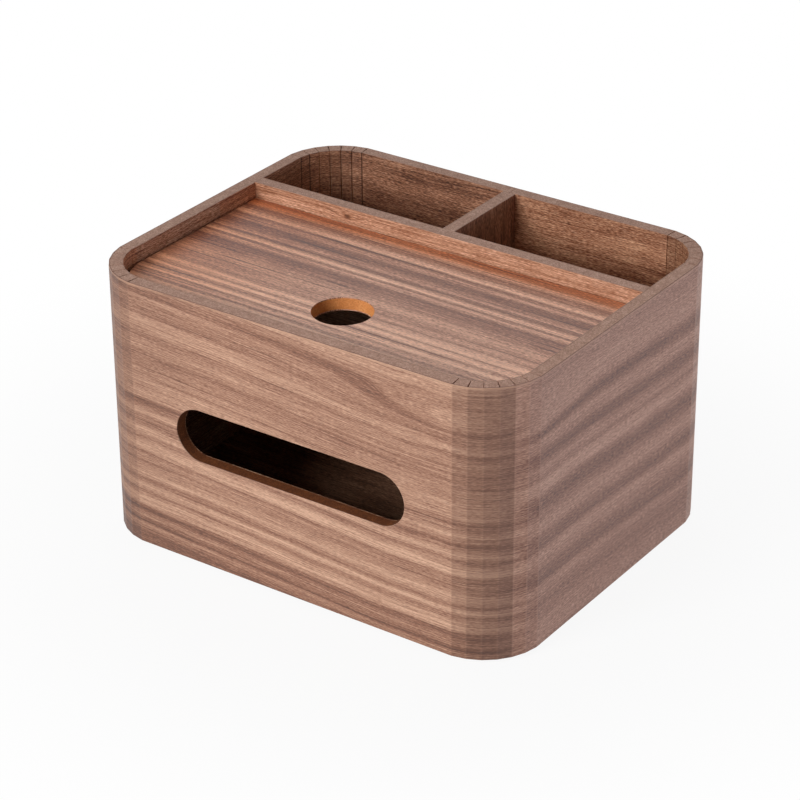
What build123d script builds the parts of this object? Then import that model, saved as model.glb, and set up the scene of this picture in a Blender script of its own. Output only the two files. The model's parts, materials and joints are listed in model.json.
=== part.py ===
# Tissue box of walnut-veneered board: a folded wall band with kerfed corners, a front space for tissues
# under a lift-out lid, and two open bays behind it.
# Millimetres. The origin is on the table under the middle of the box: +X right, +Y back, +Z up.
import os
from math import cos, radians, sin, tan

from build123d import *

# Overall size, over the outer veneer and down to the table
box_width = 210.0
box_depth = 170.0
box_height = 125.0

# Veneered board
core_thickness = 5.0
veneer_thickness = 0.5

# Folded corners: kerfs cut from the inside, down to the outer veneer, and folded nearly shut
corner_radius = 28.0
kerfs_per_corner = 7
kerf_outer_gap = 0.6
kerf_inner_gap = 0.22
seam_gap = 0.1

# Tissue slot in the front wall
slot_length = 115.0
slot_height = 24.0

# Dividers: the long one stands a bay's depth in front of the back wall
bay_depth = 47.5
housing_depth = 2.0
housing_stop = 8.0
glue_line = 0.1

# Lid of the tissue space
lid_recess = 7.2
lid_clearance = 0.6
lid_corner_relief = 3.0
finger_hole_diameter = 26.0
finger_hole_setback = 33.5

# Cleats under the lid
cleat_width = 6.0
cleat_height = 8.0
cleat_setback = 3.0

# Pads under the base
pad_diameter = 14.0
pad_thickness = 2.0
pad_inset = 22.0

# Levels and faces that several pieces share
board_thickness = core_thickness + 2 * veneer_thickness
wall_bottom = pad_thickness
wall_height = box_height - wall_bottom
wall_middle = wall_bottom + wall_height / 2
base_top = wall_bottom + board_thickness
inner_x = box_width / 2 - board_thickness
inner_y = box_depth / 2 - board_thickness
divider_rear = inner_y - bay_depth
divider_front = divider_rear - board_thickness
divider_middle = divider_rear - board_thickness / 2
divider_height = box_height - base_top
housing_top = box_height - housing_stop
lid_bottom = box_height - lid_recess - board_thickness
finger_hole_y = -inner_y + finger_hole_setback

# Fold geometry: the walls and the corner facets all touch one circle of the corner radius
kerf_turn = 90.0 / kerfs_per_corner
half_turn = radians(kerf_turn / 2)
bend_radius = kerf_outer_gap / 2 / tan(half_turn)
fold_count = 4 * kerfs_per_corner
stave_count = kerfs_per_corner - 1
corner_centres = [
    (box_width / 2 - corner_radius, corner_radius - box_depth / 2),
    (box_width / 2 - corner_radius, box_depth / 2 - corner_radius),
    (corner_radius - box_width / 2, box_depth / 2 - corner_radius),
    (corner_radius - box_width / 2, corner_radius - box_depth / 2),
]
corner_names = ["front_right", "back_right", "back_left", "front_left"]
wall_names = ["right", "back", "left", "front"]


def fold_point(index, depth):
    """Plan position of one fold line, at a depth below the outer face, counted round from the front right."""
    corner, kerf = divmod(index % fold_count, kerfs_per_corner)
    angle = radians(90 * corner - 90 + (kerf + 0.5) * kerf_turn)
    reach = (corner_radius - depth) / cos(half_turn)
    centre_x, centre_y = corner_centres[corner]
    return Vector(centre_x + reach * cos(angle), centre_y + reach * sin(angle))


def kerf_gap(depth):
    """Width of a folded kerf: widest against the outer veneer and nearly shut at the inner face."""
    share = (depth - veneer_thickness) / (board_thickness - veneer_thickness)
    return kerf_outer_gap + (kerf_inner_gap - kerf_outer_gap) * share


def segment_edge(index, depth):
    """The two ends of a segment between neighbouring folds, each set back by half a kerf."""
    start = fold_point(index, depth)
    end = fold_point(index + 1, depth)
    setback = (end - start).normalized() * (kerf_gap(depth) / 2)
    return start + setback, end - setback


def band_segment(index, outer_depth, inner_depth):
    """Full-height piece of the wall band between two neighbouring kerfs."""
    outer_start, outer_end = segment_edge(index, outer_depth)
    inner_start, inner_end = segment_edge(index, inner_depth)
    plan = make_face(Polyline(outer_start, outer_end, inner_end, inner_start, close=True))
    return extrude(Pos(0, 0, wall_bottom) * plan, amount=wall_height)


def band_outline(depth, radius):
    """Closed plan of the folded band, with each fold eased to a small bend."""
    folds = [fold_point(index, depth) for index in range(fold_count)]
    plan = make_face(Polyline(*folds, close=True))
    return fillet(plan.vertices(), radius)


def block(x_span, y_span, z_span):
    """Rectangular block between two limits along each axis."""
    sizes = [high - low for low, high in (x_span, y_span, z_span)]
    middles = [(high + low) / 2 for low, high in (x_span, y_span, z_span)]
    return Pos(*middles) * Box(*sizes)


def layered_board(name, plan, bottom):
    """Flat board: bottom veneer, core and top veneer on one plan."""
    layers = [("bottom_veneer", veneer_thickness), ("core", core_thickness), ("top_veneer", veneer_thickness)]
    level = bottom
    for layer, thickness in layers:
        pieces[name + "_" + layer] = extrude(Pos(0, 0, level) * plan, amount=thickness)
        level += thickness


pieces = {}

# Cutters: the tissue slot and the stopped housings that take the tongues of the dividers
slot_plan = Plane.XZ * SlotOverall(slot_length, slot_height)
slot_cut = Pos(0, -box_depth / 2, wall_middle) * extrude(slot_plan, amount=2 * board_thickness, both=True)
housing_reach = housing_depth + glue_line
housing_half = core_thickness / 2 + glue_line
housing_levels = (base_top, housing_top + glue_line)
long_housing = block(
    (-inner_x - housing_reach, inner_x + housing_reach),
    (divider_middle - housing_half, divider_middle + housing_half),
    housing_levels,
)
short_housing = block(
    (-housing_half, housing_half),
    (divider_rear - housing_reach, inner_y + housing_reach),
    housing_levels,
)

# Outer veneer: one sheet round the whole band, with its seam in the middle of the back
outer_plan = band_outline(0, bend_radius + veneer_thickness) - band_outline(veneer_thickness, bend_radius)
outer_sheet = extrude(Pos(0, 0, wall_bottom) * outer_plan, amount=wall_height)
seam_cut = block(
    (-seam_gap / 2, seam_gap / 2),
    (inner_y, box_depth / 2 + board_thickness),
    (wall_bottom - board_thickness, box_height + board_thickness),
)
pieces["outer_veneer"] = outer_sheet - slot_cut - seam_cut

# Wall band: cores behind the outer veneer, and the inner veneers behind the cores
inner_veneer_depth = board_thickness - veneer_thickness
wall_cuts = {"right": long_housing, "back": short_housing, "left": long_housing, "front": slot_cut}
band_layers = [
    ("_wall_core", "_staves", veneer_thickness, inner_veneer_depth),
    ("_inner_veneer", "_stave_veneers", inner_veneer_depth, board_thickness),
]
for wall_suffix, stave_suffix, outer_depth, inner_depth in band_layers:
    for corner in range(4):
        first = corner * kerfs_per_corner
        staves = [band_segment(first + stave, outer_depth, inner_depth) for stave in range(stave_count)]
        pieces[corner_names[corner] + stave_suffix] = Compound(staves)
        wall_name = wall_names[corner]
        wall = band_segment(first + stave_count, outer_depth, inner_depth) - wall_cuts[wall_name]
        if wall_name == "back":
            pieces["back_left" + wall_suffix] = split(wall, Plane.YZ.offset(-seam_gap / 2), keep=Keep.BOTTOM)
            pieces["back_right" + wall_suffix] = split(wall, Plane.YZ.offset(seam_gap / 2), keep=Keep.TOP)
        else:
            pieces[wall_name + wall_suffix] = wall

# Base: set inside the band, flush with its lower edge
base_folds = [fold_point(index, board_thickness + glue_line) for index in range(fold_count)]
layered_board("base", make_face(Polyline(*base_folds, close=True)), wall_bottom)

# Long divider: tongues on its core enter the side walls
standing = (base_top, box_height)
tongue_levels = (base_top, housing_top)
long_core_span = (divider_front + veneer_thickness, divider_rear - veneer_thickness)
long_tongue = block((-inner_x - housing_depth, inner_x + housing_depth), long_core_span, tongue_levels)
long_core = block((-inner_x, inner_x), long_core_span, standing) + long_tongue
pieces["long_divider_core"] = long_core - short_housing
pieces["long_divider_front_veneer"] = block(
    (-inner_x, inner_x), (divider_front, divider_front + veneer_thickness), standing
)
long_rear_veneer = block((-inner_x, inner_x), (divider_rear - veneer_thickness, divider_rear), standing)
pieces["long_divider_rear_veneer"] = long_rear_veneer - short_housing

# Short divider: tongues on its core enter the long divider and the back wall, over the seam of the band
short_span = (divider_rear, inner_y)
short_core_span = (-core_thickness / 2, core_thickness / 2)
short_tongue = block(short_core_span, (divider_rear - housing_depth, inner_y + housing_depth), tongue_levels)
pieces["short_divider_core"] = block(short_core_span, short_span, standing) + short_tongue
pieces["short_divider_left_veneer"] = block(
    (-board_thickness / 2, -core_thickness / 2), short_span, standing
)
pieces["short_divider_right_veneer"] = block(
    (core_thickness / 2, board_thickness / 2), short_span, standing
)

# Lid: rounded at the front like the inside of the band, square against the long divider
lid_front = -inner_y + lid_clearance
lid_rear = divider_front - lid_clearance
lid_half_width = inner_x - lid_clearance
lid_corner = corner_radius - board_thickness - lid_clearance + lid_corner_relief
lid_plan = Pos(0, (lid_front + lid_rear) / 2) * Rectangle(2 * lid_half_width, lid_rear - lid_front)
lid_plan = fillet(lid_plan.vertices().sort_by(Axis.Y)[:2], lid_corner)
lid_plan -= Pos(0, finger_hole_y) * Circle(finger_hole_diameter / 2)
layered_board("lid", lid_plan, lid_bottom)

# Cleats: glued to the side walls, between the folded corner and the long divider
cleat_y = (corner_radius - box_depth / 2 + cleat_setback, divider_front - cleat_setback)
cleat_z = (lid_bottom - cleat_height, lid_bottom)
pieces["left_lid_cleat"] = block((-inner_x, cleat_width - inner_x), cleat_y, cleat_z)
pieces["right_lid_cleat"] = block((inner_x - cleat_width, inner_x), cleat_y, cleat_z)

# Pads: one near each corner of the base
pad_x = box_width / 2 - pad_inset
pad_y = box_depth / 2 - pad_inset
pad_places = {
    "front_right": (pad_x, -pad_y),
    "back_right": (pad_x, pad_y),
    "back_left": (-pad_x, pad_y),
    "front_left": (-pad_x, -pad_y),
}
for corner_name, place in pad_places.items():
    pieces[corner_name + "_foot_pad"] = extrude(Pos(*place) * Circle(pad_diameter / 2), amount=pad_thickness)

os.makedirs("parts", exist_ok=True)
for name, shape in pieces.items():
    export_step(shape, "parts/" + name + ".step")
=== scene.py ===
# Looks of the walnut tissue box: veneer grain that runs round the folded corners, stained rim edges,
# raw fibreboard in the slot and finger hole, soft studio light and the photograph's viewing angle.
import json
from dataclasses import dataclass, replace
from itertools import accumulate
from math import atan2, cos, hypot, pi, radians, sin
from random import Random

import bmesh
import bpy
from mathutils import Matrix, Vector

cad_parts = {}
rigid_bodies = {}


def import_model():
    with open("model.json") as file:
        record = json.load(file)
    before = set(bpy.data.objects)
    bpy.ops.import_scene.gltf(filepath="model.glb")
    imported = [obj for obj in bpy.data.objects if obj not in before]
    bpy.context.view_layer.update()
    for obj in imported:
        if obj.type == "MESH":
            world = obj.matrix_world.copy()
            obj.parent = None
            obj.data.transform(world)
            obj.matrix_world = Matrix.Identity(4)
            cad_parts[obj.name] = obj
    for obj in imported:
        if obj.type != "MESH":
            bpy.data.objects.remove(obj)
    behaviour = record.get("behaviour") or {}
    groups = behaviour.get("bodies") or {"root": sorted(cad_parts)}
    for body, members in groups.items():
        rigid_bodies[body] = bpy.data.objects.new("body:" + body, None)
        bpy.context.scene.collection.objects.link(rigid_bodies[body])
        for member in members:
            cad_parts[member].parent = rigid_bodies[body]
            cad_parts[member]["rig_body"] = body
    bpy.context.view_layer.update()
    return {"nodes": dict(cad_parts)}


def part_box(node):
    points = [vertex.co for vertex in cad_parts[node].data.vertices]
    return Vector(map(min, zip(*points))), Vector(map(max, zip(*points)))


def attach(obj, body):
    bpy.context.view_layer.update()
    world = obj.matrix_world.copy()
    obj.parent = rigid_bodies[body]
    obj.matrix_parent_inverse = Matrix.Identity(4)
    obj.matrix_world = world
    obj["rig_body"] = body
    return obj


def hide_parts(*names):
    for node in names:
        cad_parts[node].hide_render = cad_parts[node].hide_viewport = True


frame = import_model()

# Sizes of the object in millimetres, read from the frame where it holds them
MM = 1000.0
low_corner, high_corner = (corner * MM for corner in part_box("outer_veneer"))
HALF_WIDTH = high_corner.x
HALF_DEPTH = high_corner.y
WALL_BOTTOM = low_corner.z
RIM = high_corner.z
LID_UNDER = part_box("lid_bottom_veneer")[0].z * MM
LID_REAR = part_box("lid_top_veneer")[1].y * MM
TISSUE_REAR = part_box("long_divider_front_veneer")[0].y * MM
CORNER_RADIUS = 28.0
FLAT_HALF_WIDTH = HALF_WIDTH - CORNER_RADIUS
FLAT_HALF_DEPTH = HALF_DEPTH - CORNER_RADIUS
CORNER_ARC = CORNER_RADIUS * pi / 2
REAR_CORNER = FLAT_HALF_WIDTH + CORNER_ARC + 2 * FLAT_HALF_DEPTH
KERFS = 7
FACET = CORNER_RADIUS * radians(90 / KERFS)
FOLD_WIDTH = 1.2
FOLD_LENGTH = 80.0
OUTER_FACE_DEPTH = 0.05
EASE = 0.12
OUTER_EASE = 0.25
CRISP_ANGLE = radians(35)
SMOOTH_ANGLE = radians(32)

# Camera: the photograph's viewing angle, with the picture's slight tilt
CAMERA_AZIMUTH = 35.07
CAMERA_ELEVATION = 27.97
CAMERA_ROLL = -0.37
CAMERA_DISTANCE = 1.2013
CAMERA_LENS = 126.63
CAMERA_AIM_HEIGHT = 62.5
CAMERA_AIM_RIGHT = -0.00304
CAMERA_AIM_UP = -0.00665


def srgb(red, green, blue):
    """Linear colour of an 8-bit display colour."""
    def linear(level):
        share = level / 255
        return share / 12.92 if share <= 0.04045 else ((share + 0.055) / 1.055) ** 2.4
    return linear(red), linear(green), linear(blue), 1.0


# Grain coordinates

def wrap_place(point):
    """Run round the box from the middle of the front, height, and depth below the outer face, in mm."""
    x, y = abs(point.x) * MM, point.y * MM
    flat_x = min(x, FLAT_HALF_WIDTH)
    flat_y = max(-FLAT_HALF_DEPTH, min(y, FLAT_HALF_DEPTH))
    turn = atan2(x - flat_x, flat_y - y)
    along_x = flat_x if turn <= pi / 2 else 2 * FLAT_HALF_WIDTH - flat_x
    run = along_x + CORNER_RADIUS * turn + flat_y + FLAT_HALF_DEPTH
    depth = CORNER_RADIUS - hypot(x - flat_x, y - flat_y)
    return Vector((run if point.x >= 0 else -run, point.z * MM, depth))


def upright_x_place(point):
    """Grain along X on an upright board."""
    return Vector((point.x, point.z, point.y)) * MM


def upright_z_place(point):
    """Grain up an upright board that runs from front to back."""
    return Vector((point.z, point.y, point.x)) * MM


def cleat_place(point):
    """Grain along Y on a strip."""
    return Vector((point.y, point.x + point.z, point.x)) * MM


def flat_place(point):
    """Grain along X on a flat board."""
    return Vector((point.x, point.y, point.z)) * MM


# Pieces

def is_bend(face, mesh):
    """Whether a face is one of the narrow upright strips that bend over a kerf."""
    if abs(face.normal.z) > 0.1:
        return False
    corners = [mesh.vertices[index].co for index in face.vertices]
    height = max(corner.z for corner in corners) - min(corner.z for corner in corners)
    return height * MM > FOLD_LENGTH and face.area / height * MM < FOLD_WIDTH


def is_shown_edge(edge, outer_only):
    """Whether an edge is crisp, and lies in the outer face of the walls if only those count."""
    if not edge.is_manifold or edge.calc_face_angle() < CRISP_ANGLE:
        return False
    return not outer_only or all(wrap_place(vertex.co).z < OUTER_FACE_DEPTH for vertex in edge.verts)


def eased_copy(node_name, ease, place, outer_only):
    """Copy of a CAD node with eased edges and grain coordinates, which is shown in its stead."""
    mesh = bpy.data.meshes.new(node_name + "_finish")
    shape = bmesh.new()
    shape.from_mesh(frame["nodes"][node_name].data)
    bmesh.ops.remove_doubles(shape, verts=shape.verts, dist=1e-6)
    bmesh.ops.dissolve_limit(shape, angle_limit=radians(0.5), verts=shape.verts, edges=shape.edges)
    crisp = [edge for edge in shape.edges if is_shown_edge(edge, outer_only)]
    bmesh.ops.bevel(shape, geom=crisp, offset=ease / MM, offset_type="OFFSET", segments=2,
                    profile=0.5, affect="EDGES", clamp_overlap=True)
    for face in shape.faces:
        face.smooth = True
    for edge in shape.edges:
        edge.smooth = edge.calc_face_angle(0.0) < SMOOTH_ANGLE
    shape.to_mesh(mesh)
    shape.free()
    marks = mesh.attributes.new("fold", "FLOAT", "FACE")
    for face, mark in zip(mesh.polygons, marks.data):
        mark.value = 1.0 if is_bend(face, mesh) else 0.0
    grain = mesh.attributes.new("grain", "FLOAT_VECTOR", "POINT")
    for vertex, value in zip(mesh.vertices, grain.data):
        value.vector = place(vertex.co)
    piece = bpy.data.objects.new(node_name + "_finish", mesh)
    bpy.context.scene.collection.objects.link(piece)
    normals = piece.modifiers.new("even normals", "WEIGHTED_NORMAL")
    normals.keep_sharp = True
    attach(piece, frame["nodes"][node_name]["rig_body"])
    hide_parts(node_name)
    return piece


class Graph:
    """A material's nodes, with a short call for each kind that the surfaces use."""

    def __init__(self, name):
        self.material = bpy.data.materials.new(name)
        self.material.use_nodes = True
        self.tree = self.material.node_tree
        self.tree.nodes.clear()

    @classmethod
    def on(cls, tree):
        """Graph on a tree that isn't a material's."""
        graph = cls.__new__(cls)
        graph.tree = tree
        tree.nodes.clear()
        return graph

    def node(self, kind, **settings):
        made = self.tree.nodes.new(kind)
        for key, value in settings.items():
            setattr(made, key, value)
        return made

    def feed(self, socket, value):
        """Links a socket to another node's output, or sets it to a plain value."""
        if isinstance(value, bpy.types.NodeSocket):
            self.tree.links.new(value, socket)
        else:
            socket.default_value = value

    def math(self, operation, *values, clamp=False):
        made = self.node("ShaderNodeMath", operation=operation, use_clamp=clamp)
        for socket, value in zip(made.inputs, values):
            self.feed(socket, value)
        return made.outputs[0]

    def plus(self, a, b):
        return self.math("ADD", a, b)

    def times(self, a, b):
        return self.math("MULTIPLY", a, b)

    def less(self, share, loss):
        """1 where the share is 0, and 1 less the loss where it is 1."""
        return self.plus(self.times(share, -loss), 1.0)

    def step(self, value, start, end):
        """0 below start, 1 above end and smooth between, or the other way round if end is below start."""
        made = self.node("ShaderNodeMapRange", interpolation_type="SMOOTHSTEP")
        falls = end < start
        self.feed(made.inputs["Value"], value)
        made.inputs["From Min"].default_value = min(start, end)
        made.inputs["From Max"].default_value = max(start, end)
        made.inputs["To Min"].default_value = 1.0 if falls else 0.0
        made.inputs["To Max"].default_value = 0.0 if falls else 1.0
        return made.outputs["Result"]

    def split(self, vector):
        made = self.node("ShaderNodeSeparateXYZ")
        self.feed(made.inputs[0], vector)
        return made.outputs

    def join(self, x, y, z):
        made = self.node("ShaderNodeCombineXYZ")
        for socket, value in zip(made.inputs, (x, y, z)):
            self.feed(socket, value)
        return made.outputs[0]

    def noise(self, along, across, seed, detail=2.0, roughness=0.5):
        """Noise from -0.5 to 0.5 on a sheet whose coordinates are already scaled."""
        return self.speckle(self.join(along, across, seed), 1.0, detail, roughness)

    def speckle(self, vector, scale, detail=3.0, roughness=0.5):
        """Noise from -0.5 to 0.5 that is alike in all directions."""
        made = self.node("ShaderNodeTexNoise", noise_dimensions="3D")
        self.feed(made.inputs["Vector"], vector)
        made.inputs["Scale"].default_value = scale
        made.inputs["Detail"].default_value = detail
        made.inputs["Roughness"].default_value = roughness
        return self.math("SUBTRACT", made.outputs["Fac"], 0.5)

    def curve(self, value, points, soft=False):
        """Height, from 0 to 1, of a line through (place, height) points, at the place given by value."""
        first, last = points[0][0], points[-1][0]
        made = self.node("ShaderNodeValToRGB")
        made.color_ramp.interpolation = "EASE" if soft else "LINEAR"
        stops = made.color_ramp.elements
        while len(stops) < len(points):
            stops.new(0.5)
        for stop, (place, height) in zip(stops, points):
            stop.position = (place - first) / (last - first)
            stop.color = (height, height, height, 1.0)
        share = self.node("ShaderNodeMapRange")
        self.feed(share.inputs["Value"], value)
        share.inputs["From Min"].default_value = first
        share.inputs["From Max"].default_value = last
        self.feed(made.inputs["Fac"], share.outputs["Result"])
        return made.outputs["Color"]

    def lift(self, value, points):
        """Height in mm, within 50 either way, of a line through (place, height) points."""
        heights = [(place, height / 100 + 0.5) for place, height in points]
        return self.times(self.plus(self.curve(value, heights), -0.5), 100.0)

    def tinted(self, colour, tint, share=1.0):
        """Colour times a tint, by a share."""
        made = self.node("ShaderNodeMix", data_type="RGBA", blend_type="MULTIPLY")
        self.feed(made.inputs["Factor"], share)
        self.feed(made.inputs["A"], colour)
        self.feed(made.inputs["B"], tint)
        return made.outputs["Result"]

    def mix(self, share, first, second):
        """Colour between two colours."""
        made = self.node("ShaderNodeMix", data_type="RGBA")
        self.feed(made.inputs["Factor"], share)
        self.feed(made.inputs["A"], first)
        self.feed(made.inputs["B"], second)
        return made.outputs["Result"]

    def shades(self, value, stops):
        """Colour from a list of (place, colour) stops."""
        made = self.node("ShaderNodeValToRGB")
        elements = made.color_ramp.elements
        while len(elements) < len(stops):
            elements.new(0.5)
        for element, (place, colour) in zip(elements, stops):
            element.position = place
            element.color = colour
        self.feed(made.inputs["Fac"], value)
        return made.outputs["Color"]

    def facing_up(self):
        """How far the surface faces up, from -1 to 1."""
        return self.split(self.node("ShaderNodeNewGeometry").outputs["Normal"])[2]

    def attribute(self, name):
        return self.node("ShaderNodeAttribute", attribute_name=name)

    def finish(self, colour, roughness, height, relief, specular=0.5):
        """Closes the tree with one Principled surface. Relief is the height of the bump in mm."""
        bump = self.node("ShaderNodeBump")
        bump.inputs["Strength"].default_value = 1.0
        bump.inputs["Distance"].default_value = relief / MM
        self.feed(bump.inputs["Height"], height)
        surface = self.node("ShaderNodeBsdfPrincipled")
        self.feed(surface.inputs["Base Color"], colour)
        self.feed(surface.inputs["Roughness"], roughness)
        surface.inputs["Specular IOR Level"].default_value = specular
        self.feed(surface.inputs["Normal"], bump.outputs["Normal"])
        output = self.node("ShaderNodeOutputMaterial")
        self.feed(output.inputs["Surface"], surface.outputs[0])
        return self.material


# Walnut veneer

@dataclass
class Veneer:
    """How one sheet of walnut looks, in mm across the sheet and tones from dark 0 to light 1.

    Bands are (place, tone) points, and drift is the lift of the bands as (run, mm) points. Eyes are the
    closed figures in the grain as (run, place, half length, half height, lift), and knots are small dark
    spots as (run, place, half length, half height, tone). A sheet with side bands shows them, softer and
    with fewer thin lines, on the side walls.
    """

    shades: list
    bands: list = None
    drift: list = None
    eyes: tuple = ()
    wander: float = 4.0
    ripple: float = 0.8
    band_share: float = 1.8
    line_share: float = 0.7
    ring_spacing: float = 3.0
    ring_share: float = 0.22
    fine_share: float = 1.4
    fibre_share: float = 2.1
    fleck_share: float = 2.7
    pore_share: float = 0.30
    hair_spacing: float = 2.8
    hair_share: float = 0.0
    mottle_share: float = 0.0
    knots: tuple = ()
    side_bands: list = None
    seed: float = 0.0


def swell(g, run, across, middle_run, middle_place, half_length, half_height):
    """1 in the middle of an oval place on a sheet, falling softly to 0 around it."""
    along = g.math("POWER", g.times(g.plus(run, -middle_run), 1 / half_length), 2.0)
    over = g.math("POWER", g.times(g.plus(across, -middle_place), 1 / half_height), 2.0)
    return g.math("EXPONENT", g.times(g.plus(along, over), -1.0))


def growth_lines(g, run, across, veneer):
    """Place among the fibres, place among the rings with the ripples and eyes, and share of an eye."""
    seed = veneer.seed
    lean = across
    if veneer.wander:
        slow = g.noise(g.times(run, 0.006), g.times(across, 0.012), seed)
        lean = g.plus(lean, g.times(slow, veneer.wander))
    if veneer.drift:
        lean = g.plus(lean, g.lift(run, veneer.drift))
    ripple = g.noise(g.times(run, 0.03), g.times(across, 0.09), seed + 3)
    growth = g.plus(lean, g.times(ripple, veneer.ripple))
    inside = 0.0
    for *oval, lift in veneer.eyes:
        eye = swell(g, run, across, *oval)
        growth = g.plus(growth, g.times(eye, lift))
        inside = g.plus(inside, eye)
    return lean, growth, inside


def ring_lines(g, run, growth, veneer):
    """Share of the dark late wood: each ring darkens slowly and ends at once, and some rings fade out."""
    seed = veneer.seed
    shift = g.noise(g.times(run, 0.004), g.times(growth, 0.08), seed + 11)
    count = g.plus(g.times(growth, 1 / veneer.ring_spacing), g.times(shift, 3.0))
    phase = g.math("FRACT", count)
    late = g.times(g.step(phase, 0.40, 0.90), g.step(phase, 1.0, 0.93))
    strength = g.noise(g.times(run, 0.012), g.times(g.math("FLOOR", count), 3.7), seed + 13)
    return g.times(late, g.step(strength, -0.15, 0.20))


def hair_lines(g, run, growth, veneer):
    """Share of the hair-thin dark lines along the grain, which come and go along their length."""
    seed = veneer.seed
    shift = g.noise(g.times(run, 0.003), g.times(growth, 0.15), seed + 27)
    count = g.plus(g.times(growth, 1 / veneer.hair_spacing), g.times(shift, 2.0))
    from_middle = g.math("ABSOLUTE", g.plus(g.math("FRACT", count), -0.5))
    strength = g.noise(g.times(run, 0.016), g.times(g.math("FLOOR", count), 3.1), seed + 29)
    return g.times(g.step(from_middle, 0.11, 0.05), g.step(strength, -0.02, 0.14))


MIDDLE_TONE = 0.5


def walnut_tone(g, run, across, veneer):
    """Tone of the wood, share of open pores and the fibre noise at a place on a sheet."""
    seed = veneer.seed
    lean, growth, inside = growth_lines(g, run, across, veneer)
    lines = g.noise(g.times(run, 0.004), g.times(growth, 0.40), seed + 7, detail=2.0, roughness=0.6)
    tone = MIDDLE_TONE
    side = 0.0
    if veneer.bands:
        bands = g.curve(growth, veneer.bands)
        if veneer.side_bands:
            turned = g.plus(g.math("ABSOLUTE", run), -FLAT_HALF_WIDTH)
            side = g.step(turned, 3 * FACET, CORNER_ARC)
            bands = g.mix(side, bands, g.curve(growth, veneer.side_bands, soft=True))
        tone = g.plus(tone, g.times(g.plus(bands, -MIDDLE_TONE), veneer.band_share))
    tone = g.plus(tone, g.times(g.times(lines, veneer.line_share), g.less(side, 0.35)))
    rings = g.times(ring_lines(g, run, growth, veneer), -veneer.ring_share)
    fine = g.noise(g.times(run, 0.010), g.times(growth, 1.8), seed + 9, detail=2.0, roughness=0.6)
    thin = g.plus(rings, g.times(fine, veneer.fine_share))
    if veneer.hair_share:
        thin = g.plus(thin, g.times(hair_lines(g, run, growth, veneer), -veneer.hair_share))
    fade = g.times(g.less(side, 0.55), g.less(inside, 0.6))
    tone = g.plus(tone, g.times(thin, fade))
    if veneer.mottle_share:
        mottle = g.noise(g.times(run, 0.045), g.times(growth, 0.11), seed + 23, detail=2.0, roughness=0.6)
        tone = g.plus(tone, g.times(mottle, veneer.mottle_share))
    for *oval, change in veneer.knots:
        tone = g.plus(tone, g.times(swell(g, run, across, *oval), change))
    fibre = g.noise(g.times(run, 0.06), g.times(lean, 2.6), seed + 17, detail=2.0, roughness=0.7)
    tone = g.plus(tone, g.times(g.times(fibre, veneer.fibre_share), g.less(side, 0.2)))
    fleck = g.noise(g.times(run, 0.5), g.times(lean, 3.2), seed + 21, detail=1.0)
    tone = g.plus(tone, g.times(g.times(fleck, veneer.fleck_share), g.less(side, -0.5)))
    pores = g.noise(g.times(run, 0.20), g.times(lean, 2.6), seed + 19, detail=1.0)
    return tone, g.step(pores, 0.12, 0.22), fibre


PORE_COLOUR = srgb(84, 58, 48)


def walnut(name, veneer, edge=None, specular=0.65, gloss=0.48):
    """Veneer surface: banded colour, fine fibres and dark pores. Edge recolours it by place, if given."""
    g = Graph(name)
    run, across = g.split(g.attribute("grain").outputs["Vector"])[:2]
    tone, pores, fibre = walnut_tone(g, run, across, veneer)
    # The shades run from tone -0.5 to 1.5
    colour = g.shades(g.plus(g.times(tone, 0.5), 0.25), veneer.shades)
    colour = g.mix(g.times(pores, veneer.pore_share), colour, PORE_COLOUR)
    if edge:
        colour = edge(g, colour, run, across, fibre)
    height = g.math("SUBTRACT", g.times(fibre, 0.6), pores)
    roughness = g.plus(g.times(pores, 0.12), gloss)
    return g.finish(colour, roughness, height, relief=0.03, specular=specular)


# Painted shade on the strips of the two front corners, darker strip by strip as they turn from the lamps
FRONT_RIGHT_PAINTED_SHADE = (0.77, 0.61, 0.56, 0.56)
FRONT_LEFT_PAINTED_SHADE = (0.77, 0.69, 0.58, 0.52)
FOLD_HIGHLIGHT_COLOUR = srgb(200, 156, 132)
ARRIS_WEAR_AND_HIGHLIGHT_COLOUR = srgb(206, 162, 132)
EASED_RIM_HIGHLIGHT_COLOUR = srgb(232, 192, 164)
OUTER_CUT_COLOUR = srgb(122, 80, 60)
INNER_CUT_COLOUR = srgb(160, 122, 102)
TISSUE_SPACE_SHADE = (0.70, 0.78, 0.82, 1.0)


def facet_levels(tones):
    """Curve points that step to each tone in turn at the folds of a corner, and back to 1 after the last."""
    levels = [(0.0, 1.0)]
    for count, tone in enumerate(tones + (1.0,)):
        fold_place = (count + 0.5) * FACET
        levels += [(fold_place - 0.3, levels[-1][1]), (fold_place + 0.3, tone)]
    return levels


def warm_shade(g, shade, green_power, blue_power):
    """Tint of a shade that takes more from green and blue than from red."""
    return g.join(shade, g.math("POWER", shade, green_power), g.math("POWER", shade, blue_power))


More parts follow.
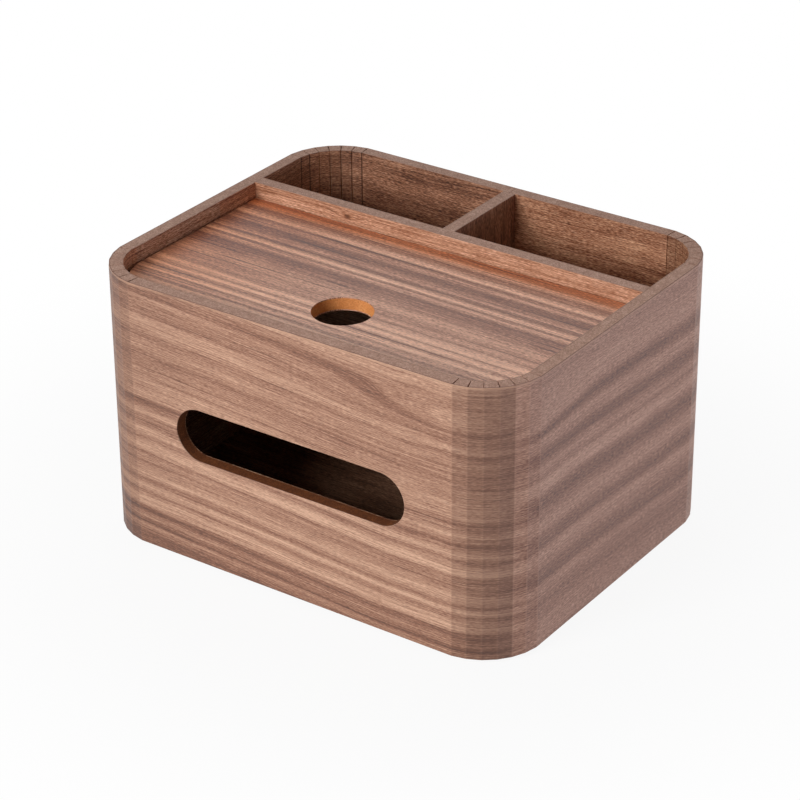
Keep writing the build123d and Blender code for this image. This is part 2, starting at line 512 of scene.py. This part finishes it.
def outer_edges(g, colour, run, height, fibre):
    """Painted shade at front folds and left end, painted highlight at folds and rim, pale arris and cut
    edge.
    """
    turned = g.math("SUBTRACT", run, FLAT_HALF_WIDTH)
    turned_left = g.math("SUBTRACT", g.times(run, -1.0), FLAT_HALF_WIDTH)
    # Painted shade: the strips of both front corners darken in turn, warmer as they darken
    shade = g.curve(turned, facet_levels(FRONT_RIGHT_PAINTED_SHADE))
    # Painted shade: the front grows darker towards its left end
    shade = g.times(shade, g.less(g.step(run, -20.0, -90.0), 0.17))
    colour = g.tinted(colour, warm_shade(g, shade, 1.13, 1.20))
    shade_left = g.curve(turned_left, facet_levels(FRONT_LEFT_PAINTED_SHADE))
    colour = g.tinted(colour, warm_shade(g, shade_left, 1.3, 1.6))
    # Painted highlight: a pale line over each bent fold, stronger from the middle of the front right corner
    # on
    fold = g.attribute("fold").outputs["Fac"]
    fold_highlight_share = g.plus(g.times(g.step(turned, 4.2 * FACET, 4.8 * FACET), 0.18), 0.06)
    colour = g.mix(g.times(fold, fold_highlight_share), colour, FOLD_HIGHLIGHT_COLOUR)
    # Pale band just below the rim, broken by the fibres: sanded wear on the arris, partly a painted
    # highlight
    arris = g.times(g.step(height, RIM - 1.3, RIM - 0.5), g.step(fibre, -0.25, 0.1))
    colour = g.mix(g.times(arris, 0.55), colour, ARRIS_WEAR_AND_HIGHLIGHT_COLOUR)
    up = g.facing_up()
    # Painted highlight on the eased edge, where it turns to face up
    colour = g.mix(g.times(g.step(up, 0.15, 0.45), 0.6), colour, EASED_RIM_HIGHLIGHT_COLOUR)
    return g.mix(g.step(up, 0.80, 0.95), colour, OUTER_CUT_COLOUR)


def inner_edges(g, colour, *_):
    """Cut edge of an inner sheet where it shows on the rim, and painted shade inside the tissue space."""
    _, along, level = g.split(g.node("ShaderNodeTexCoord").outputs["Object"])
    along, level = g.times(along, MM), g.times(level, MM)
    # Painted shade: inner sheets below the lid and in front of the long divider are darkened
    below = g.step(level, LID_UNDER + 0.2, LID_UNDER - 0.8)
    inside = g.times(below, g.step(along, TISSUE_REAR + 0.4, TISSUE_REAR + 0.1))
    colour = g.tinted(colour, TISSUE_SPACE_SHADE, inside)
    cut = g.times(g.step(g.facing_up(), 0.80, 0.95), g.step(level, RIM - 0.4, RIM - 0.1))
    return g.mix(cut, colour, INNER_CUT_COLOUR)


STAVE_TONES = (1.3, 1.3, 1.1, 0.9, 0.9, 1.0)
RIGHT_STAVE_TONES = (0.7,) * (KERFS - 1)
# How dark the painted shade is along each kerf of the rear left corner
KERF_SHADES = (0.6, 0.7, 0.15, 0.1, 0.3, 0.6, 0.7)
KERF_SHADE_COLOUR = srgb(44, 28, 20)
LEFT_WALL_COOL_LIGHT_TINT = (1.0, 1.23, 1.44, 1.0)


def band_edges(g, colour, run, *_):
    """Sheets inside the walls: strips on the rear staves differ in tone, with painted shade along their
    kerfs.
    """
    reach = g.math("ABSOLUTE", run)
    rear = g.math("GREATER_THAN", reach, REAR_CORNER - FLAT_HALF_DEPTH)
    turned = g.plus(g.plus(reach, -FLAT_HALF_WIDTH), g.times(rear, FLAT_HALF_WIDTH - REAR_CORNER))
    left = g.math("LESS_THAN", run, 0.0)
    right_strips = g.curve(turned, facet_levels(RIGHT_STAVE_TONES))
    left_strips = g.curve(turned, facet_levels(STAVE_TONES))
    colour = g.tinted(colour, g.mix(left, right_strips, left_strips), rear)
    place = g.math("FRACT", g.times(turned, 1 / FACET))
    from_kerf = g.times(g.math("ABSOLUTE", g.plus(place, -0.5)), FACET)
    bent = g.times(g.math("GREATER_THAN", turned, 0.0), g.math("LESS_THAN", turned, CORNER_ARC))
    # Painted shade along the kerfs of the rear left corner, where the deep slits look dark
    marks = [(0.0, KERF_SHADES[0])]
    for count, shade in enumerate(KERF_SHADES[1:], start=1):
        marks += [(count * FACET - 0.1, marks[-1][1]), (count * FACET + 0.1, shade)]
    kerf_shade = g.times(g.times(bent, g.step(from_kerf, 0.45, 0.20)), g.curve(turned, marks))
    colour = g.mix(g.times(g.times(kerf_shade, rear), left), colour, KERF_SHADE_COLOUR)
    # Painted light: a cooler cast on the front half of the left wall's inner sheet
    past_corner = g.math("LESS_THAN", run, -FLAT_HALF_WIDTH - CORNER_ARC)
    colour = g.tinted(colour, LEFT_WALL_COOL_LIGHT_TINT, g.times(past_corner, g.math("SUBTRACT", 1.0, rear)))
    return inner_edges(g, colour)


DIVIDER_SHADE_AND_REFLECTION_TINT = (1.0, 0.69, 0.44, 1.0)
LEFT_LID_SHADE_TINT = (0.87, 0.71, 0.58, 1.0)
RIGHT_LID_SHEEN_TINT = (1.05, 1.09, 1.13, 1.0)


def lid_edges(g, colour, run, place, *_):
    """Lid sheets: painted warm shade beside the divider, painted shade to the left, painted sheen to the
    right.
    """
    # Painted shade and reflection: warmer and darker on the strip beside the divider
    colour = g.tinted(colour, DIVIDER_SHADE_AND_REFLECTION_TINT, g.step(place, LID_REAR - 9.0, LID_REAR - 3.0))
    # Painted shade: darker and warmer towards the left wall
    colour = g.tinted(colour, LEFT_LID_SHADE_TINT, g.step(run, -10.0, -96.0))
    # Painted sheen: paler and cooler towards the right
    colour = g.tinted(colour, RIGHT_LID_SHEEN_TINT, g.step(run, -80.0, 10.0))
    return inner_edges(g, colour)


def wood_shades(dark, mid, light):
    """Shades of a veneer through the display colours of tones 0, 0.5 and 1, from tone -0.5 to 1.5."""
    dark, mid, light = srgb(*dark), srgb(*mid), srgb(*light)
    deep = tuple(0.45 * level for level in dark[:3]) + (1.0,)
    pale = tuple(2 * high - level for level, high in zip(mid[:3], light[:3])) + (1.0,)
    return [(0.0, deep), (0.25, dark), (0.5, mid), (0.75, light), (1.0, pale)]


OUTER_SHADES = wood_shades((127, 80, 57), (167, 121, 96), (201, 157, 130))
LID_SHADES = wood_shades((123, 67, 43), (181, 124, 97), (231, 175, 144))
INNER_SHADES = wood_shades((119, 66, 39), (176, 119, 87), (219, 167, 131))
DIVIDER_SHADES = wood_shades((145, 89, 57), (191, 139, 107), (237, 189, 159))
# Darker copy of the inner shades: painted shade for sheets in shade, at the back of the left bay, on the
# short dividers and the base
SHADED_INNER_SHADES = wood_shades((82, 45, 28), (144, 94, 67), (190, 140, 110))


def uneven_bands(draw, first, last, count, contrast, middle):
    """Darker and lighter bands by turns, of uneven width and strength, as (place, tone) points."""
    widths = [draw.lognormvariate(0.0, 0.55) for _ in range(count - 1)]
    places = [first + (last - first) * reach / sum(widths) for reach in accumulate(widths, initial=0.0)]
    return [(place, middle - contrast * (-1) ** index * draw.uniform(0.1, 1.0))
            for index, place in enumerate(places)]


# The outer sheet is striped most below the slot, and the lid has one bright stripe that stands out
outer_draw = Random(5)
OUTER_BANDS = (uneven_bands(outer_draw, 2, 52, 16, contrast=0.42, middle=0.53)
               + uneven_bands(outer_draw, 57, 125, 12, contrast=0.24, middle=0.49))
SIDE_BANDS = uneven_bands(Random(11), 2, 135, 17, contrast=0.28, middle=0.49)
LID_STRIPE = [(-50, 0.40), (-49, 0.75), (-47, 0.95), (-45, 0.65)]
lid_draw = Random(17)
# The lid's front bands are set lighter: painted light over the front wall's shadow on the lid
LID_BANDS = (uneven_bands(lid_draw, -78, -52, 10, contrast=0.44, middle=0.62) + LID_STRIPE
             + uneven_bands(lid_draw, -43, 25, 18, contrast=0.44, middle=0.57))

outer_veneer = Veneer(
    OUTER_SHADES, OUTER_BANDS,
    drift=[(-240, -5), (-80, -5), (50, 3), (150, 3), (225, 7), (300, 8)],
    eyes=[(88.0, 107.0, 50.0, 8.0, 14.0)], wander=3.0, ripple=1.3, ring_spacing=4.0, fleck_share=1.7,
    hair_spacing=1.7, hair_share=0.45, side_bands=SIDE_BANDS)
lid_veneer = Veneer(
    LID_SHADES, LID_BANDS, drift=[(-105, -2.0), (105, 2.0)], wander=0.8, ripple=0.4, band_share=1.65,
    line_share=0.55, ring_spacing=2.6, fine_share=1.2, fibre_share=1.8, fleck_share=2.3, hair_share=0.95,
    seed=31.0)
inner_veneer = Veneer(
    INNER_SHADES, wander=9.0, ripple=4.0, line_share=0.9, ring_share=0.12, fine_share=1.1, hair_spacing=3.2,
    hair_share=0.45, mottle_share=1.0, seed=57.0)
# Inner veneer in the darker shades, as painted shade
shaded_inner_veneer = replace(inner_veneer, shades=SHADED_INNER_SHADES, mottle_share=1.2)
divider_veneer = Veneer(
    DIVIDER_SHADES, wander=5.0, ripple=1.5, line_share=0.7, ring_share=0.15, fine_share=1.1, fleck_share=1.8,
    hair_spacing=2.2, hair_share=0.4, mottle_share=0.7,
    eyes=[(-49.0, 121.0, 6.0, 2.4, 3.0)], knots=[(-49.0, 121.0, 1.5, 0.9, -1.3)], seed=83.0)

walnut_outer = walnut("outer_walnut_finish", outer_veneer, outer_edges)
walnut_lid = walnut("lid_walnut_finish", lid_veneer, lid_edges, specular=0.75, gloss=0.40)
walnut_inner = walnut("inner_walnut_finish", inner_veneer, band_edges)
# Painted shade: the back of the left bay, the short dividers and the base get the darker veneer
walnut_inner_shaded = walnut("shaded_inner_walnut_finish", shaded_inner_veneer, band_edges)
walnut_board_shaded = walnut("shaded_board_walnut_finish", shaded_inner_veneer, inner_edges)
walnut_divider = walnut("divider_walnut_finish", divider_veneer, inner_edges)


# Fibreboard

STAINED_SHADES = [(0.1, srgb(136, 100, 82)), (0.5, srgb(179, 139, 119)), (0.9, srgb(216, 180, 159))]
REAR_RIM_SHADE_TINT = (0.87, 0.88, 0.90, 1.0)
NEAR_RIM_LIGHT_TINT = (1.09, 1.10, 1.14, 1.0)


def fibreboard(name, raw_shades):
    """Board core: raw in its cuts and stained along the rim, with painted light paler towards the front
    right.
    """
    g = Graph(name)
    coordinates = g.node("ShaderNodeTexCoord").outputs["Object"]
    across, along, height = g.split(coordinates)
    fine = g.speckle(coordinates, 1800.0)
    medium = g.speckle(coordinates, 1100.0, detail=2.0)
    coarse = g.speckle(coordinates, 250.0)
    grit = g.plus(g.plus(g.times(fine, 1.2), g.times(coarse, 0.5)), 0.5)
    raw = g.shades(grit, [(share, srgb(*colour)) for share, colour in zip((0.15, 0.5, 0.85), raw_shades)])
    worn = g.plus(grit, g.times(medium, 0.9))
    # Painted light and shade: the stained rim is paler towards the front right and darker towards the rear
    # left
    near = g.step(g.math("SUBTRACT", across, along), -0.15, 0.15)
    stained = g.tinted(g.shades(worn, STAINED_SHADES), g.mix(near, REAR_RIM_SHADE_TINT, NEAR_RIM_LIGHT_TINT))
    colour = g.mix(g.step(g.times(height, MM), RIM - 1.2, RIM - 0.5), raw, stained)
    return g.finish(colour, 0.65, fine, relief=0.05)


raw_core = fibreboard("board_core_finish", [(200, 120, 58), (230, 148, 82), (246, 182, 116)])
brown_core = fibreboard("slot_core_finish", [(70, 35, 16), (111, 60, 29), (148, 89, 48)])


def foam(name):
    """Dark foam rubber with fine open cells."""
    g = Graph(name)
    coordinates = g.node("ShaderNodeTexCoord").outputs["Object"]
    cells = g.speckle(coordinates, 3500.0, detail=2.0)
    colour = g.mix(g.plus(cells, 0.5), srgb(24, 24, 25), srgb(48, 47, 46))
    return g.finish(colour, 0.9, cells, relief=0.1)


cleat_wood = walnut("cleat_wood_finish", Veneer(DIVIDER_SHADES, line_share=0.8, seed=113.0))
pad_foam = foam("pad_foam_finish")


def look_of(node_name):
    """Grain, surface and material slot of a piece."""
    if node_name == "outer_veneer":
        return wrap_place, walnut_outer, "outer_walnut"
    if node_name == "front_wall_core":
        return wrap_place, brown_core, "board_core"
    if node_name.endswith("_cleat"):
        return cleat_place, cleat_wood, "cleat_wood"
    if node_name.endswith("_foot_pad"):
        return flat_place, pad_foam, "pad_foam"
    if "veneer" not in node_name:
        return wrap_place, raw_core, "board_core"
    if node_name.startswith("lid_"):
        return flat_place, walnut_lid, "lid_walnut"
    if node_name.startswith("long_divider"):
        return upright_x_place, walnut_divider, "inner_walnut"
    if node_name.startswith("short_divider"):
        return upright_z_place, walnut_board_shaded, "inner_walnut"
    if node_name.startswith("base_"):
        return flat_place, walnut_board_shaded, "inner_walnut"
    if node_name.startswith("back_left"):
        return wrap_place, walnut_inner_shaded, "inner_walnut"
    return wrap_place, walnut_inner, "inner_walnut"


for node_name in sorted(frame["nodes"]):
    place, surface, slot = look_of(node_name)
    outer = node_name == "outer_veneer"
    piece = eased_copy(node_name, OUTER_EASE if outer else EASE, place, outer_only=outer)
    piece.data.materials.append(surface)


# Stage

def white_for_sight(g, seen, otherwise):
    """Shader that camera, glossy and transmission rays see as one thing and light rays as another."""
    path = g.node("ShaderNodeLightPath")
    sight = g.math("MAXIMUM", path.outputs["Is Camera Ray"], path.outputs["Is Glossy Ray"])
    sight = g.math("MAXIMUM", sight, path.outputs["Is Transmission Ray"])
    mixed = g.node("ShaderNodeMixShader")
    g.feed(mixed.inputs[0], sight)
    g.feed(mixed.inputs[1], otherwise)
    g.feed(mixed.inputs[2], seen)
    return mixed.outputs[0]


FLOOR_HALF = 20.0
FLOOR_GREY = (0.8, 0.8, 0.8, 1.0)


def make_floor():
    """Wide pale floor that looks white and keeps a soft shadow near the object."""
    mesh = bpy.data.meshes.new("floor")
    corners = [(x * FLOOR_HALF, y * FLOOR_HALF, 0) for x, y in ((-1, -1), (1, -1), (1, 1), (-1, 1))]
    mesh.from_pydata(corners, [], [(0, 1, 2, 3)])
    floor = bpy.data.objects.new("floor", mesh)
    bpy.context.scene.collection.objects.link(floor)
    g = Graph("floor_white")
    diffuse = g.node("ShaderNodeBsdfDiffuse")
    diffuse.inputs["Color"].default_value = FLOOR_GREY
    glow = g.node("ShaderNodeEmission")
    glow.inputs["Strength"].default_value = 1.0
    across, along = g.split(g.node("ShaderNodeTexCoord").outputs["Object"])[:2]
    reach = g.math("SQRT", g.plus(g.times(across, across), g.times(along, along)))
    past_x = g.plus(g.math("ABSOLUTE", across), -HALF_WIDTH / MM)
    past_y = g.plus(g.math("ABSOLUTE", along), -HALF_DEPTH / MM)
    outside = g.step(g.math("MAXIMUM", past_x, past_y), -0.014, -0.010)
    shown = g.node("ShaderNodeMixShader")
    g.feed(shown.inputs[0], g.times(outside, g.plus(g.times(g.step(reach, 0.10, 0.32), 0.08), 0.92)))
    g.feed(shown.inputs[1], diffuse.outputs[0])
    g.feed(shown.inputs[2], glow.outputs[0])
    output = g.node("ShaderNodeOutputMaterial")
    g.feed(output.inputs["Surface"], white_for_sight(g, shown.outputs[0], diffuse.outputs[0]))
    mesh.materials.append(g.material)


def make_world():
    """White surroundings, dimmer as a light than as a backdrop."""
    world = bpy.data.worlds.new("studio")
    bpy.context.scene.world = world
    world.use_nodes = True
    g = Graph.on(world.node_tree)
    dim = g.node("ShaderNodeBackground")
    dim.inputs["Strength"].default_value = 0.12
    white = g.node("ShaderNodeBackground")
    white.inputs["Strength"].default_value = 1.0
    for background in (dim, white):
        background.inputs["Color"].default_value = (1.0, 1.0, 1.0, 1.0)
    output = g.node("ShaderNodeOutputWorld")
    g.feed(output.inputs["Surface"], white_for_sight(g, white.outputs[0], dim.outputs[0]))


def make_lamp(name, azimuth, elevation, distance, size, power, colour=(1.0, 1.0, 1.0), reflected=True):
    """Soft box that faces the middle of the object. Azimuth is counted from the front to the right."""
    turn, rise = radians(azimuth), radians(elevation)
    away = Vector((sin(turn) * cos(rise), -cos(turn) * cos(rise), sin(rise)))
    lamp = bpy.data.lights.new(name, "AREA")
    lamp.shape = "RECTANGLE"
    lamp.size, lamp.size_y = size
    lamp.energy = power
    lamp.color = colour
    holder = bpy.data.objects.new(name, lamp)
    holder.location = Vector((0.0, 0.0, 0.06)) + away * distance
    holder.rotation_mode = "QUATERNION"
    holder.rotation_quaternion = (-away).to_track_quat("-Z", "Y")
    holder.visible_camera = False
    holder.visible_glossy = reflected
    bpy.context.scene.collection.objects.link(holder)


def make_camera():
    """Camera at the photograph's angle, aimed a little beside the middle of the walls."""
    azimuth, elevation, roll = (radians(angle) for angle in (CAMERA_AZIMUTH, CAMERA_ELEVATION, CAMERA_ROLL))
    back = Vector((sin(azimuth) * cos(elevation), -cos(azimuth) * cos(elevation), sin(elevation)))
    level = Vector((cos(azimuth), sin(azimuth), 0.0))
    upright = back.cross(level)
    right = level * cos(roll) + upright * sin(roll)
    up = back.cross(right)
    middle = Vector((0.0, 0.0, (WALL_BOTTOM + CAMERA_AIM_HEIGHT) / MM))
    aim = middle + right * CAMERA_AIM_RIGHT + up * CAMERA_AIM_UP
    lens = bpy.data.cameras.new("camera")
    lens.lens = CAMERA_LENS
    lens.sensor_width = 36.0
    camera = bpy.data.objects.new("camera", lens)
    camera.location = aim + back * CAMERA_DISTANCE
    camera.rotation_mode = "QUATERNION"
    camera.rotation_quaternion = Matrix((right, up, back)).transposed().to_quaternion()
    bpy.context.scene.collection.objects.link(camera)
    bpy.context.scene.camera = camera


make_floor()
make_world()
make_lamp("key_soft_box", azimuth=-13.0, elevation=25.0, distance=1.3, size=(0.5, 0.4), power=11.6)
make_lamp("rear_soft_box", azimuth=-150.0, elevation=48.0, distance=1.2, size=(0.9, 0.7), power=3.2,
          reflected=False)
make_lamp("low_right_card", azimuth=104.0, elevation=3.0, distance=0.9, size=(0.7, 0.11), power=1.72,
          colour=(1.0, 0.95, 1.26))
make_camera()
bpy.context.scene.view_settings.view_transform = "Standard"
